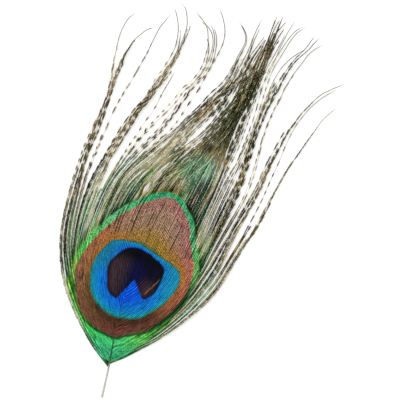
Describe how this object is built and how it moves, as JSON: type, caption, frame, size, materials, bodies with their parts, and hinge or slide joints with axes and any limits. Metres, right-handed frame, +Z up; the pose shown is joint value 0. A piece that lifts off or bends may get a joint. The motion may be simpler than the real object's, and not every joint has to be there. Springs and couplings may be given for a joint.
{
  "type": "peacock feather",
  "caption": "Tip of a peacock train feather with its coloured eye, a cut shaft and a fan of loose barbs, lying flat.",
  "frame": {"origin": "on the surface that the feather lies on, under the middle of its outline", "axes": "+Y along the feather from the cut end of the shaft to the barb tips, +Z up out of the face of the eye"},
  "size_m": [0.0856, 0.158, 0.0048],
  "materials": {
    "shaft_horn": "satin",
    "eye_vane": "satin",
    "green_herl": "satin",
    "brown_herl": "matte"
  },
  "bodies": {
    "root": {"shaft": "shaft_horn", "eye_left": "eye_vane", "eye_right": "eye_vane", "margin_left": "green_herl", "margin_right": "green_herl", "lock_left_1": "brown_herl", "lock_left_2": "brown_herl", "lock_left_3": "brown_herl", "lock_left_4": "brown_herl", "lock_left_5": "brown_herl", "lock_centre": "brown_herl", "lock_right_5": "brown_herl", "lock_right_4": "brown_herl", "lock_right_3": "brown_herl", "lock_right_2": "brown_herl", "lock_right_1": "brown_herl"}
  },
  "joints": []
}
